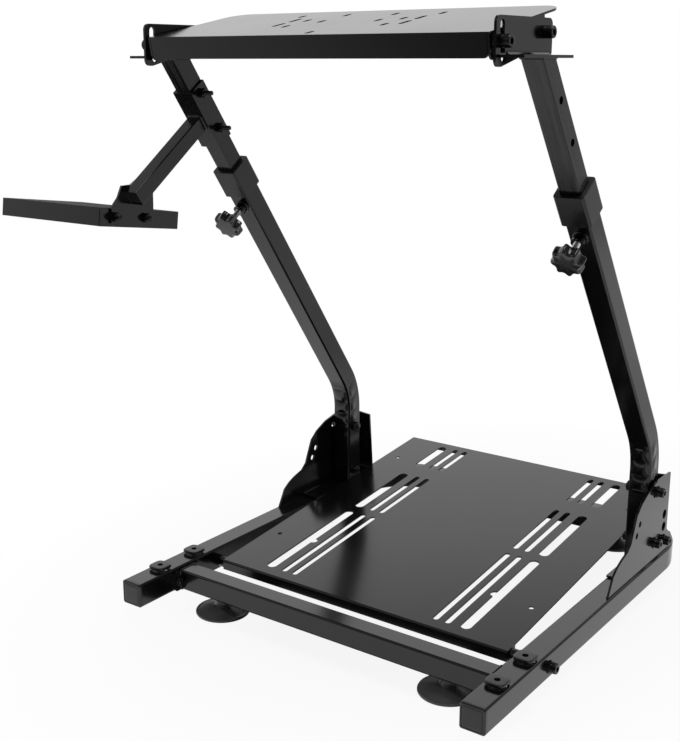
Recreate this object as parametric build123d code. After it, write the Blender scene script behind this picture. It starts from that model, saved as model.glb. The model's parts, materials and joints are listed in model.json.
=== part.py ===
# Racing wheel stand: a floor frame of bent square tube with a pedal plate,
# two leaning telescopic uprights, a tilting wheel deck and a shifter platform.
# Millimetres, +Z up, the driver sits on the -Y side.
import math
import os

from build123d import *

os.makedirs("parts", exist_ok=True)

# Fits used throughout
tube_wall = 1.5
sheet = 2.0
plate_steel = 3.0
bolt_d = 8.0
hole_play = 0.6
hole_d = bolt_d + hole_play
slide_gap = 0.3
cut_past = 1.0
nut_across = 13.0
nut_height = 6.5
lock_nut_height = 8.0
head_d = 13.0
head_height = 8.0
washer_d = 16.0
washer_height = 1.6

# Floor frame
foot_d = 72.0
foot_height = 20.0
foot_edge = 2.0
foot_rim_height = 4.5
foot_rim_edge = 1.0
foot_rim_width = 4.0
foot_neck_d = 21.0
foot_neck_height = 10.0
foot_neck_flare = 3.0
rail_size = 32.0
rail_round = 3.0
rail_bend_radius = 90.0
frame_rear_y = 624.0
cross_size = 28.0
cross_y = 87.3
cross_flange_length = 50.0
cross_flange_round = 4.0
front_foot_inset = 65.0
rear_foot_inset = 10.0
plug_depth = 12.0
plug_head = 4.0
plug_edge = 1.6
pad_size = 25.0
pad_height = 4.0
pad_round = 9.0
pad_edge = 1.0
pad_neck_d = 10.0
pad_neck_height = 2.0
pad_hole_d = 7.0
pad_offset = 33.0

# Pedal plate, measured along the sheet from its front pivot
pedal_half = 221.0
pedal_side_gap = 18.0
pedal_tilt = 5.77
pedal_pivot_y = 152.2
pedal_drop = 9.2
pedal_pivot_low = 1.9
pedal_front = -10.7
pedal_rear = 483.2
pedal_lip = 14.0
pedal_lip_round = 3.0
pedal_rear_bolt = 354.7
pedal_ear = 10.0
slot_rows = [(7.7, 200.2), (216.6, 349.4), (383.5, 467.6)]
slot_columns = [(68.8, 14.0), (93.0, 8.0), (110.2, 8.0)]
slot_notch = 98.3
slot_notch_r = 6.0
pedal_hole_d = 7.0
pedal_holes = [(20.5, 91.3), (22.5, 397.3)]
sleeve_front_d = 16.0
sleeve_rear_d = 12.0

# Side brackets: the outline is measured from the upright's axis and the rail's top
upright_size = 30.0
upright_y = 470.7
upright_lean = 36.0
upright_bend_radius = 100.0
upright_stub = 156.6
upright_packing = 3.6
bracket_inset = 3.0
bracket_bolt_low = 22.0
bracket_bolt_rise = 73.5
bracket_spare_angles = [9.0, 51.5, 64.2]
bracket_hole_ahead = 3.6
bracket_hole_rises = [21.0, 39.0]
bracket_hole_d = 13.0
bracket_height = 114.0
bracket_back = 43.9
bracket_heel = 68.3
bracket_toe = 149.7
bracket_toe_gap = 60.0
bracket_brow = [(-135.7, 25.0), (-123.7, 33.0), (-110.7, 38.5), (-92.7, 43.5), (-82.7, 52.0), (-76.7, 66.0),
                (-67.7, 86.0), (-52.7, 98.0), (-30.7, 108.0)]
bracket_brow_end = 5.7
bracket_heel_step = [(0.0, 28.0), (15.0, 22.0)]
bracket_heel_height = 10.0
bracket_back_gap = 4.0
bracket_back_steps = [(0.0, 0.0), (6.5, 104.0)]
bracket_back_low = 4.0

# Telescopic part, measured along the lean from the knee
inner_size = 25.0
inner_round = 2.0
collar_size = 37.0
collar_round = 4.0
collar_length = 42.0
collar_lip = 4.7
knob_below_collar = 18.7
boss_d = 16.0
boss_height = 10.0
stud_d = 8.0
stud_show = 16.0
stud_grip = 9.0
knob_d = 40.0
knob_height = 18.0
knob_lobes = 8
knob_scallop_r = 5.0
knob_scallop_out = 2.4
knob_hub_d = 18.0
knob_hub_height = 4.0
inner_overlap = 162.8
inner_top_z = 712.5
inner_hole_drop = 51.0
inner_hole_pitch = 54.0

# Deck brackets and wheel deck, measured along the deck from its pivot
deck_pivot_rise = 25.5
deck_pivot_back = 37.7
deck_tilt = 10.6
deck_sweep = 10.0
deck_arc_r = 90.0
deck_arc_angle = 6.3
deck_arc_width = 9.0
deck_front_rim = 7.2
deck_bracket_rear = 16.7
deck_bracket_rise = 14.0
deck_bracket_round = 7.0
deck_lobe_rim = 4.2
deck_lobe_flat = 11.0
deck_lobe_length = 46.0
deck_leg_inset = 4.2
deck_leg_rear = 9.5
deck_leg_width = 31.0
deck_sheet = 2.5
deck_gap = 5.0
deck_drop = 17.2
deck_rear = 62.8
deck_front_flange = 25.0
deck_flange_gap = 0.6
deck_flange_round = 4.0
deck_nut_room = 0.6
deck_side_flange = 28.0
deck_side_end = 16.5
deck_side_round = 8.0
deck_corner = 25.0
deck_head_height = 10.0
deck_slot_width = 6.0
deck_slots_short = [(39.0, 89.8), (33.5, 132.6), (66.0, 99.0), (67.0, 59.3), (97.0, 130.5)]
deck_slots_long = [(86.0, 70.5), (86.0, 102.0)]
deck_slot_middle = 15.5
deck_short = 15.0
deck_long = 23.0

# Shifter mount on the left upright, its plate and tray measured from the end of the arm
clamp_below = 20.0
clamp_above = 11.0
clamp_collar_gap = 41.35
arm_size = 20.0
arm_above = 19.0
arm_end = 160.0
arm_round = 1.5
arm_plug_depth = 9.0
arm_plug_recess = 1.0
shift_bolt_reach = 18.0
shift_bolt_tail = 5.0
shift_bolt_points = [(-22.0, -20.9), (28.0, -26.9)]
shift_plate_points = [(-9.0, 15.6), (6.0, 15.6), (18.0, 22.1), (43.3, 20.1), (42.5, -17.9), (41.0, -36.9),
                      (-29.0, -27.9), (-27.0, -8.9), (-16.0, 2.1)]
tray_front_ahead = 41.0
tray_front_below = 7.9
tray_tilt = 7.8
tray_width = 181.6
tray_depth = 132.0
tray_rim = 22.3
tray_corner_gap = 1.0

# Values that follow from the sizes above
rail_inner_x = pedal_half + pedal_side_gap
rail_outer_x = rail_inner_x + rail_size
rail_x = rail_outer_x - rail_size / 2
rail_z = foot_height + rail_size / 2
rail_top = foot_height + rail_size
pedal_pivot_z = rail_z - pedal_pivot_low
rear_y = frame_rear_y - rail_size / 2
bend_y = rear_y - rail_bend_radius
bend_x = rail_x - rail_bend_radius
front_foot_x = rail_inner_x - front_foot_inset
rear_foot_x = bend_x - rear_foot_inset
cross_z = foot_height + cross_size / 2
bracket_out = rail_outer_x - bracket_inset
bracket_in = bracket_out - plate_steel
bracket_floor = rail_top + plate_steel
bracket_top = rail_top + bracket_height
upright_x = bracket_in - upright_packing - upright_size / 2
upright_knee_z = bracket_floor + upright_stub
lean = math.radians(upright_lean)
knee_run = upright_bend_radius * math.tan(lean / 2)
bolt_low_z = bracket_floor + bracket_bolt_low
bolt_high_z = bolt_low_z + bracket_bolt_rise
inner_top_along = (inner_top_z - upright_knee_z) / math.cos(lean)
inner_top_y = upright_y - inner_top_along * math.sin(lean)
inner_hole_high = inner_top_along - inner_hole_drop
inner_hole_low = inner_hole_high - inner_hole_pitch
collar_end = inner_hole_low - clamp_below - clamp_collar_gap
collar_start = collar_end - collar_length
upright_end = collar_end - collar_lip
knob_along = collar_start - knob_below_collar
inner_start = collar_start - inner_overlap
deck_bracket_out = upright_x - inner_size / 2
deck_bracket_in = deck_bracket_out - plate_steel
deck_half = deck_bracket_in - deck_gap
deck_pivot_y = inner_top_y + deck_pivot_back
deck_pivot_z = inner_top_z + deck_pivot_rise
arc_low = math.radians(deck_arc_angle + deck_sweep)
arc_high = math.radians(deck_arc_angle - deck_sweep)
arc_turn = math.radians(deck_tilt - deck_arc_angle)
arc_along = -deck_arc_r * math.cos(arc_turn)
arc_rise = deck_arc_r * math.sin(arc_turn)
nut_corner_r = nut_across / 2 / math.cos(math.radians(30))
deck_front = arc_along - nut_corner_r - deck_nut_room - deck_sheet
deck_bracket_front = deck_arc_r + deck_arc_width / 2 + deck_front_rim
deck_leg_front = deck_bracket_front - deck_leg_inset
deck_lobe_drop = deck_arc_r * math.sin(arc_low) + deck_arc_width / 2 + deck_lobe_rim
arm_along = inner_hole_low + arm_above


def block(x0, x1, y0, y1, z0, z1):
    return Pos((x0 + x1) / 2, (y0 + y1) / 2, (z0 + z1) / 2) * Box(x1 - x0, y1 - y0, z1 - z0)


def rod_x(x0, x1, y, z, diameter):
    return Pos((x0 + x1) / 2, y, z) * Rot(0, 90, 0) * Cylinder(diameter / 2, x1 - x0)


def drill_x(x0, x1, y, z, diameter):
    # A hole through what lies between x0 and x1
    return rod_x(x0 - cut_past, x1 + cut_past, y, z, diameter)


def nut_x(x0, x1, y, z):
    face = Plane((x0, y, z), x_dir=(0, 1, 0), z_dir=(1, 0, 0)) * RegularPolygon(nut_across / 2, 6, major_radius=False)
    return extrude(face, x1 - x0, dir=(1, 0, 0))


def square_section(plane, size, corner, wall):
    outer = RectangleRounded(size, size, corner)
    inner = RectangleRounded(size - 2 * wall, size - 2 * wall, max(corner - wall, wall / 4))
    return plane * (outer - inner)


def side_profile(x0, x1, points, corner=0.0):
    # Closed outline in the YZ plane, given thickness between x0 and x1
    plane = Plane((x0, 0, 0), x_dir=(0, 1, 0), z_dir=(1, 0, 0))
    outline = make_face(Polyline(*points, close=True))
    if corner:
        outline = fillet(outline.vertices(), corner)
    return extrude(plane * outline, x1 - x0, dir=(1, 0, 0))


def lean_point(along, forward=0.0, x=0.0):
    # A point on the leaning axis, moved toward the driver by forward
    y = upright_y - math.sin(lean) * along - math.cos(lean) * forward
    z = upright_knee_z + math.cos(lean) * along - math.sin(lean) * forward
    return (x, y, z)


lean_up = (0, -math.sin(lean), math.cos(lean))
lean_front = (0, -math.cos(lean), -math.sin(lean))


def lean_plane(along, x=0.0):
    return Plane(lean_point(along, 0.0, x), x_dir=(1, 0, 0), z_dir=lean_up)


def front_plane(along, forward, x=0.0):
    return Plane(lean_point(along, forward, x), x_dir=(1, 0, 0), z_dir=lean_front)


def lean_block(x0, x1, forward0, forward1, along0, along1):
    # A box in the leaning frame: forward is toward the driver, along is up the tube
    middle = lean_plane((along0 + along1) / 2, (x0 + x1) / 2)
    local = Pos(0, -(forward0 + forward1) / 2, 0) * Box(x1 - x0, forward1 - forward0, along1 - along0)
    return middle * local


def lean_drill(along, x0, x1):
    point = lean_point(along)
    return drill_x(x0, x1, point[1], point[2], hole_d)


def other_side(shape):
    return mirror(shape, about=Plane.YZ)


def tilted(shape, pivot_y, pivot_z, angle):
    return Pos(0, pivot_y, pivot_z) * Rot(angle, 0, 0) * shape


def tilted_point(along, rise, pivot_y, pivot_z, angle):
    a = math.radians(angle)
    y = pivot_y + along * math.cos(a) - rise * math.sin(a)
    z = pivot_z + along * math.sin(a) + rise * math.cos(a)
    return (y, z)


def slot_cut(x, y0, y1, width, z0, z1):
    shape = Pos(x, (y0 + y1) / 2, z0) * Rot(0, 0, 90) * SlotOverall(y1 - y0, width)
    return extrude(shape, z1 - z0, dir=(0, 0, 1))


def bolt_x(head_x, y, z, sign, grip, washer=True, reach=0.0):
    # Cap screw along X: head outside head_x, nut past the grip, sign points to the head
    base = head_x
    parts = []
    if washer:
        parts.append(rod_x(base, base + washer_height, y, z, washer_d))
        base = base + washer_height
    parts.append(rod_x(base, base + head_height, y, z, head_d))
    parts.append(nut_x(head_x - grip - nut_height, head_x - grip, y, z))
    shank = rod_x(head_x - grip - nut_height - reach, base, y, z, bolt_d)
    for item in parts:
        shank = shank + item
    return shank if sign > 0 else other_side(shank)


made = {}


# Base tube: rails with their rear bends, and the cross tube between the bends
rail_plane = Plane((rail_x, plug_head, rail_z), x_dir=(1, 0, 0), z_dir=(0, 1, 0))
rail_section = square_section(rail_plane, rail_size, rail_round, tube_wall)
bend_plane = Plane((rail_x, bend_y, rail_z), x_dir=(1, 0, 0), z_dir=(0, 1, 0))
bend_section = square_section(bend_plane, rail_size, rail_round, tube_wall)
bend_axis = Axis((bend_x, bend_y, 0), (0, 0, 1))
right_rail = extrude(rail_section, bend_y - plug_head, dir=(0, 1, 0)) + revolve(bend_section, bend_axis, 90)
right_rail = right_rail - drill_x(rail_inner_x, rail_outer_x, pedal_pivot_y, pedal_pivot_z, hole_d)
made["right_rail"] = right_rail
rear_plane = Plane((-bend_x, rear_y, rail_z), x_dir=(0, 1, 0), z_dir=(1, 0, 0))
made["rear_cross_tube"] = extrude(square_section(rear_plane, rail_size, rail_round, tube_wall), 2 * bend_x, dir=(1, 0, 0))

# Front cross tube with a bolting flange against each rail
flange_x = rail_inner_x - plate_steel
cross_plane = Plane((-flange_x, cross_y, cross_z), x_dir=(0, 1, 0), z_dir=(1, 0, 0))
front_cross = extrude(square_section(cross_plane, cross_size, rail_round, tube_wall), 2 * flange_x, dir=(1, 0, 0))
cross_flange = block(flange_x, rail_inner_x, cross_y - cross_flange_length / 2, cross_y + cross_flange_length / 2,
                     foot_height, foot_height + cross_size)
cross_flange = fillet(cross_flange.edges().filter_by(Axis.X), cross_flange_round)
made["front_cross_tube"] = front_cross + cross_flange + other_side(cross_flange)

# End plugs of the rails: a head as wide as the tube and a stem inside it
plug_size = rail_size - 2 * tube_wall
head_plane = Plane((rail_x, 0, rail_z), x_dir=(1, 0, 0), z_dir=(0, 1, 0))
plug = extrude(head_plane * RectangleRounded(rail_size, rail_size, rail_round), plug_head, dir=(0, 1, 0))
plug = chamfer(plug.edges().group_by(Axis.Y)[0], plug_edge)
plug = plug + extrude(rail_plane * RectangleRounded(plug_size, plug_size, rail_round - tube_wall), plug_depth, dir=(0, 1, 0))
made["right_rail_plug"] = plug

# Rubber feet: a low cone with a thin rim and a neck up to the tube
foot_r = foot_d / 2
rim_r = foot_r - foot_rim_width
neck_r = foot_neck_d / 2
neck_base = foot_height - foot_neck_height
foot_outline = Polyline((0, 0), (foot_r - foot_edge, 0), (foot_r, foot_edge), (foot_r, foot_rim_height - foot_rim_edge),
                        (foot_r - foot_rim_edge, foot_rim_height), (rim_r, foot_rim_height),
                        (neck_r + foot_neck_flare, neck_base), (neck_r, foot_height), (0, foot_height), close=True)
foot = revolve(Plane.XZ * make_face(foot_outline), Axis.Z, 360)
made["front_right_foot"] = Pos(front_foot_x, cross_y, 0) * foot
made["rear_right_foot"] = Pos(rear_foot_x, rear_y, 0) * foot

# Locating pads on the rails
pad_pair = []
for side in (-1, 1):
    pad_y = cross_y + side * pad_offset
    neck = Pos(rail_x, pad_y, rail_top + pad_neck_height / 2) * Cylinder(pad_neck_d / 2, pad_neck_height)
    pad_face = Pos(rail_x, pad_y, rail_top + pad_neck_height) * RectangleRounded(pad_size, pad_size, pad_round)
    pad = neck + chamfer(extrude(pad_face, pad_height).edges().group_by(Axis.Z)[-1], pad_edge)
    pad_hole = Pos(rail_x, pad_y, rail_top) * Cylinder(pad_hole_d / 2, 4 * (pad_height + pad_neck_height))
    pad_pair.append((pad - pad_hole).solid())
made["right_rail_pads"] = Compound(children=pad_pair)

# Pedal plate, built level about its front pivot and then tilted
top_w = pedal_drop
low_w = pedal_drop - sheet
lip_low = top_w - pedal_lip
pedal = block(-pedal_half, pedal_half, pedal_front, pedal_rear, low_w, top_w)
for edge_y in (pedal_front, pedal_rear - sheet):
    pedal = pedal + block(-pedal_half, pedal_half, edge_y, edge_y + sheet, lip_low, top_w)
lip_edges = pedal.edges().filter_by(Axis.X).filter_by(lambda e: abs(e.center().Z - top_w) < sheet / 100)
pedal = fillet(lip_edges, pedal_lip_round)
for ear_y in (0.0, pedal_rear_bolt):
    ear_disc = rod_x(pedal_half - sheet, pedal_half, ear_y, 0, 2 * pedal_ear)
    ear_top = block(pedal_half - sheet, pedal_half, ear_y - pedal_ear, ear_y + pedal_ear, low_w, 2 * pedal_ear)
    ear = block(pedal_half - sheet, pedal_half, ear_y - pedal_ear, ear_y + pedal_ear, 0, low_w) + ear_disc - ear_top
    pedal = pedal + ear + other_side(ear)
    pedal = pedal - drill_x(-pedal_half, pedal_half, ear_y, 0, hole_d)
for slot_inset, slot_width in slot_columns:
    for slot_0, slot_1 in slot_rows:
        cut = slot_cut(pedal_half - slot_inset, slot_0, slot_1, slot_width, lip_low, top_w + cut_past)
        pedal = pedal - cut - other_side(cut)
notch_inset, notch_slot_width = slot_columns[0]
notch_x = pedal_half - notch_inset - notch_slot_width / 2
notch = Pos(notch_x, slot_notch, low_w) * Cylinder(slot_notch_r, 4 * sheet)
pedal = pedal - notch - other_side(notch)
for hole_inset, hole_y in pedal_holes:
    drill = Pos(pedal_half - hole_inset, hole_y, low_w) * Cylinder(pedal_hole_d / 2, 4 * sheet)
    pedal = pedal - drill - other_side(drill)
made["pedal_plate"] = tilted(pedal, pedal_pivot_y, pedal_pivot_z, pedal_tilt)

# Sleeves and bolts that hang the pedal plate between the rails and the brackets
rear_bolt_y, rear_bolt_z = tilted_point(pedal_rear_bolt, 0.0, pedal_pivot_y, pedal_pivot_z, pedal_tilt)
front_sleeve = rod_x(pedal_half, rail_inner_x, pedal_pivot_y, pedal_pivot_z, sleeve_front_d)
front_sleeve = front_sleeve - drill_x(pedal_half, rail_inner_x, pedal_pivot_y, pedal_pivot_z, hole_d)
rear_sleeve = rod_x(pedal_half, bracket_in, rear_bolt_y, rear_bolt_z, sleeve_rear_d)
rear_sleeve = rear_sleeve - drill_x(pedal_half, bracket_in, rear_bolt_y, rear_bolt_z, hole_d)
made["right_plate_sleeves"] = Compound(children=[front_sleeve.solid(), rear_sleeve.solid()])
pivot_grip = rail_outer_x - pedal_half + sheet
rear_grip = bracket_out - pedal_half + sheet
pivot_bolt = bolt_x(rail_outer_x, pedal_pivot_y, pedal_pivot_z, 1, pivot_grip)
rear_bolt = bolt_x(bracket_out, rear_bolt_y, rear_bolt_z, 1, rear_grip)
made["right_plate_bolts"] = Compound(children=[pivot_bolt.solid(), rear_bolt.solid()])

# Side brackets: an upright web, a flange on the rail and a flange behind the upright
toe_y = upright_y - bracket_toe
back_y = upright_y + bracket_back
heel_y = upright_y + bracket_heel
web_points = [(toe_y, rail_top)]
web_points = web_points + [(upright_y + along, rail_top + rise) for along, rise in bracket_brow]
web_points = web_points + [(upright_y - bracket_brow_end, bracket_top), (back_y, bracket_top)]
web_points = web_points + [(back_y + along, rail_top + rise) for along, rise in bracket_heel_step]
web_points = web_points + [(heel_y, rail_top + bracket_heel_height), (heel_y, rail_top)]
web = side_profile(bracket_in, bracket_out, web_points)
floor_flange = block(rail_inner_x, bracket_in, toe_y + bracket_toe_gap, heel_y, rail_top, bracket_floor)
back_edge_x = pedal_half + bracket_back_gap
back_points = [(bracket_in, bracket_floor)]
back_points = back_points + [(back_edge_x + inset, bracket_floor + rise) for inset, rise in bracket_back_steps]
back_points = back_points + [(bracket_in, bracket_top - bracket_back_low)]
back_plane = Plane((0, back_y, 0), x_dir=(1, 0, 0), z_dir=(0, -1, 0))
back_flange = extrude(back_plane * make_face(Polyline(*back_points, close=True)), plate_steel, dir=(0, -1, 0))
side_bracket = web + floor_flange + back_flange
bracket_holes = [(upright_y, bolt_low_z), (upright_y, bolt_high_z), (rear_bolt_y, rear_bolt_z)]
for angle in bracket_spare_angles:
    turn = math.radians(angle)
    bracket_holes.append((upright_y - bracket_bolt_rise * math.sin(turn), bolt_low_z + bracket_bolt_rise * math.cos(turn)))
for hole_y, hole_z in bracket_holes:
    side_bracket = side_bracket - drill_x(bracket_in, bracket_out, hole_y, hole_z, hole_d)
for rise in bracket_hole_rises:
    side_bracket = side_bracket - drill_x(bracket_in, bracket_out, rear_bolt_y - bracket_hole_ahead, rear_bolt_z + rise,
                                          bracket_hole_d)
made["right_side_bracket"] = side_bracket

# Uprights: a vertical stub, a bend and the leaning length
stub_plane = Plane((upright_x, upright_y, bracket_floor), x_dir=(1, 0, 0), z_dir=(0, 0, 1))
stub_section = square_section(stub_plane, upright_size, rail_round, tube_wall)
bend_start = upright_knee_z - knee_run
stub = extrude(stub_section, bend_start - bracket_floor, dir=(0, 0, 1))
knee_plane = Plane((upright_x, upright_y, bend_start), x_dir=(1, 0, 0), z_dir=(0, 0, 1))
knee_section = square_section(knee_plane, upright_size, rail_round, tube_wall)
knee_axis = Axis((0, upright_y - upright_bend_radius, bend_start), (1, 0, 0))
knee = revolve(knee_section, knee_axis, upright_lean)
lean_section = square_section(lean_plane(knee_run, upright_x), upright_size, rail_round, tube_wall)
lean_tube = extrude(lean_section, upright_end - knee_run, dir=lean_up)
upright = stub + knee + lean_tube
upright_in = upright_x - upright_size / 2
for hole_z in (bolt_low_z, bolt_high_z):
    upright = upright - drill_x(upright_in, bracket_in, upright_y, hole_z, hole_d)
stud_hole_d = stud_d + hole_play
stud_hole = extrude(front_plane(knob_along, 0.0, upright_x) * Circle(stud_hole_d / 2), upright_size, dir=lean_front)
upright = upright - stud_hole
made["right_upright"] = upright
upright_grip = bracket_out - upright_in
upright_bolts = []
for bolt_z in (bolt_low_z, bolt_high_z):
    packing = rod_x(bracket_in - upright_packing, bracket_in, upright_y, bolt_z, washer_d)
    bolt = bolt_x(bracket_out, upright_y, bolt_z, 1, upright_grip) + packing
    upright_bolts.append(bolt.solid())
made["right_upright_bolts"] = Compound(children=upright_bolts)

# Collars that guide the inner tubes at the mouth of the uprights
collar_block = extrude(lean_plane(collar_start, upright_x) * RectangleRounded(collar_size, collar_size, collar_round),
                       collar_length, dir=lean_up)
socket_face = lean_plane(collar_start, upright_x) * RectangleRounded(upright_size, upright_size, rail_round)
guide_size = inner_size + 2 * slide_gap
guide_face = lean_plane(collar_start, upright_x) * RectangleRounded(guide_size, guide_size, inner_round)
collar = collar_block - extrude(socket_face, collar_length - collar_lip, dir=lean_up)
made["right_collar"] = collar - extrude(guide_face, collar_length, dir=lean_up)

# Clamp bosses, studs and star knobs
face_out = upright_size / 2
boss = extrude(front_plane(knob_along, face_out, upright_x) * Circle(boss_d / 2), boss_height, dir=lean_front)
made["right_clamp_boss"] = boss - extrude(front_plane(knob_along, face_out, upright_x) * Circle(stud_hole_d / 2),
                                          boss_height, dir=lean_front)
knob_base = face_out + boss_height + stud_show
stud_tip = inner_size / 2 + slide_gap
stud_length = knob_base + stud_grip - stud_tip
made["right_knob_stud"] = extrude(front_plane(knob_along, stud_tip, upright_x) * Circle(stud_d / 2), stud_length,
                                  dir=lean_front)
lobe_ring = Circle(knob_d / 2)
for index in range(knob_lobes):
    turn = 2 * math.pi * (index + 0.5) / knob_lobes
    reach = knob_d / 2 + knob_scallop_out
    lobe_ring = lobe_ring - Pos(reach * math.cos(turn), reach * math.sin(turn)) * Circle(knob_scallop_r)
knob = extrude(front_plane(knob_along, knob_base + knob_hub_height, upright_x) * lobe_ring, knob_height - knob_hub_height,
               dir=lean_front)
hub = extrude(front_plane(knob_along, knob_base, upright_x) * Circle(knob_hub_d / 2), knob_height / 2, dir=lean_front)
grip_hole = extrude(front_plane(knob_along, knob_base, upright_x) * Circle(stud_d / 2), stud_grip, dir=lean_front)
made["right_knob"] = knob + hub - grip_hole

# Inner tubes, cut level at the top under the deck brackets
inner_section = square_section(lean_plane(inner_start, upright_x), inner_size, inner_round, tube_wall)
inner = extrude(inner_section, inner_top_along + inner_size - inner_start, dir=lean_up)
level_cut = block(upright_x - inner_size, upright_x + inner_size, inner_top_y - 4 * inner_size, inner_top_y + 4 * inner_size,
                  inner_top_z, inner_top_z + 4 * inner_size)
inner = inner - level_cut
for along in (inner_hole_low, inner_hole_high):
    inner = inner - lean_drill(along, upright_x - inner_size / 2, upright_x + inner_size / 2)
made["right_inner_tube"] = inner

# Deck brackets: a web beside the deck with a pivot hole and an arc slot, and a leg on the tube
web_front = deck_pivot_y - deck_bracket_front
web_rear = deck_pivot_y + deck_bracket_rear
web_top = deck_pivot_z + deck_bracket_rise
web_low = inner_top_z
lobe_low = deck_pivot_z - deck_lobe_drop
deck_web_points = [(web_front, web_top), (web_front, lobe_low), (web_front + deck_lobe_flat, lobe_low),
                   (web_front + deck_lobe_length, web_low), (web_rear, web_low), (web_rear, web_top)]
deck_web = side_profile(deck_bracket_in, deck_bracket_out, deck_web_points, deck_bracket_round)
deck_web = deck_web - drill_x(deck_bracket_in, deck_bracket_out, deck_pivot_y, deck_pivot_z, hole_d)
arc_steps = 8
wedge_reach = 2 * deck_arc_r
arc_turns = [arc_high + (arc_low - arc_high) * step / arc_steps for step in range(arc_steps + 1)]
wedge_points = [(deck_pivot_y, deck_pivot_z)]
wedge_points = wedge_points + [(deck_pivot_y - wedge_reach * math.cos(turn), deck_pivot_z - wedge_reach * math.sin(turn))
                               for turn in arc_turns]
arc_wedge = side_profile(deck_bracket_in - cut_past, deck_bracket_out + cut_past, wedge_points)
arc_ring = drill_x(deck_bracket_in, deck_bracket_out, deck_pivot_y, deck_pivot_z, 2 * deck_arc_r + deck_arc_width)
arc_ring = arc_ring - drill_x(deck_bracket_in, deck_bracket_out, deck_pivot_y, deck_pivot_z, 2 * deck_arc_r - deck_arc_width)
arc_cut = arc_ring & arc_wedge
for angle in (arc_low, arc_high):
    arc_cut = arc_cut + drill_x(deck_bracket_in, deck_bracket_out, deck_pivot_y - deck_arc_r * math.cos(angle),
                                deck_pivot_z - deck_arc_r * math.sin(angle), deck_arc_width)
deck_leg = block(deck_bracket_out, deck_bracket_in + deck_leg_width, deck_pivot_y - deck_leg_front,
                 deck_pivot_y + deck_leg_rear, inner_top_z, inner_top_z + plate_steel)
made["right_deck_bracket"] = deck_web - arc_cut + deck_leg

# Wheel deck, built level about its pivot and then tilted
deck_top = deck_drop
deck_low = deck_drop - deck_sheet
deck_nut_end = deck_half - deck_sheet
deck_nut_start = deck_nut_end - washer_height - lock_nut_height
deck_face = Pos(0, (deck_front + deck_rear) / 2, deck_low) * Rectangle(2 * deck_half, deck_rear - deck_front)
deck_sheet_solid = extrude(deck_face, deck_sheet, dir=(0, 0, 1))
rear_corners = deck_sheet_solid.edges().filter_by(Axis.Z).group_by(Axis.Y)[-1]
deck = fillet(rear_corners, deck_corner)
flange_half = deck_nut_end - deck_flange_gap
flange_low = deck_top - deck_front_flange
front_flange = block(-flange_half, flange_half, deck_front, deck_front + deck_sheet, flange_low, deck_low)
front_flange = fillet(front_flange.edges().filter_by(Axis.Y).group_by(Axis.Z)[0], deck_flange_round)
side_flange = block(deck_nut_end, deck_half, deck_front, deck_side_end, deck_top - deck_side_flange, deck_low)
side_flange = fillet(side_flange.edges().filter_by(Axis.X).group_by(Axis.Z)[0], deck_side_round)
deck = deck + front_flange + side_flange + other_side(side_flange)
for along, rise in ((0.0, 0.0), (arc_along, arc_rise)):
    deck = deck - drill_x(-deck_half, deck_half, along, rise, hole_d)
deck_slots = [(x, along, deck_short) for x, along in deck_slots_short]
deck_slots = deck_slots + [(x, along, deck_long) for x, along in deck_slots_long]
for slot_x, along, length in deck_slots:
    start = deck_front + along - length / 2
    cut = slot_cut(slot_x, start, start + length, deck_slot_width, deck_low - cut_past, deck_top + cut_past)
    deck = deck - cut - other_side(cut)
start = deck_front + deck_slot_middle - deck_short / 2
deck = deck - slot_cut(0, start, start + deck_short, deck_slot_width, deck_low - cut_past, deck_top + cut_past)
made["wheel_deck"] = tilted(deck, deck_pivot_y, deck_pivot_z, deck_tilt)

# Deck bolts, fixed to the deck: spacer, head, washer and lock nut on one shank
arc_y, arc_z = tilted_point(arc_along, arc_rise, deck_pivot_y, deck_pivot_z, deck_tilt)
head_x = deck_bracket_out + slide_gap
deck_bolts = []
for bolt_y, bolt_z in ((deck_pivot_y, deck_pivot_z), (arc_y, arc_z)):
    shank = rod_x(deck_nut_start, head_x, bolt_y, bolt_z, bolt_d)
    shank = shank + rod_x(deck_half, deck_bracket_in - slide_gap, bolt_y, bolt_z, washer_d)
    shank = shank + rod_x(head_x, head_x + deck_head_height, bolt_y, bolt_z, head_d)
    shank = shank + rod_x(deck_nut_end - washer_height, deck_nut_end, bolt_y, bolt_z, nut_across)
    shank = shank + nut_x(deck_nut_start, deck_nut_end - washer_height, bolt_y, bolt_z)
    deck_bolts.append(shank.solid())
made["right_deck_bolts"] = Compound(children=deck_bolts)

# Shifter clamp: a channel around the left inner tube
half = inner_size / 2
tube_in = -upright_x + half
tube_out = -upright_x - half
clamp_start = inner_hole_low - clamp_below
clamp_end = inner_hole_high + clamp_above
clamp = lean_block(tube_out - plate_steel, tube_in + plate_steel, -half, half + plate_steel, clamp_start, clamp_end)
clamp = clamp - lean_block(tube_out, tube_in, -half - cut_past, half, clamp_start - cut_past, clamp_end + cut_past)
for along in (inner_hole_low, inner_hole_high):
    clamp = clamp - lean_drill(along, tube_out - plate_steel, tube_in + plate_steel)
made["shifter_clamp"] = clamp
clamp_bolts = []
for along in (inner_hole_low, inner_hole_high):
    centre = lean_point(along)
    grip = inner_size + 2 * plate_steel
    reach = shift_bolt_reach - nut_height
    bolt = bolt_x(-tube_out + plate_steel, centre[1], centre[2], -1, grip, False, reach)
    clamp_bolts.append(bolt.solid())
made["shifter_clamp_bolts"] = Compound(children=clamp_bolts)

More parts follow.
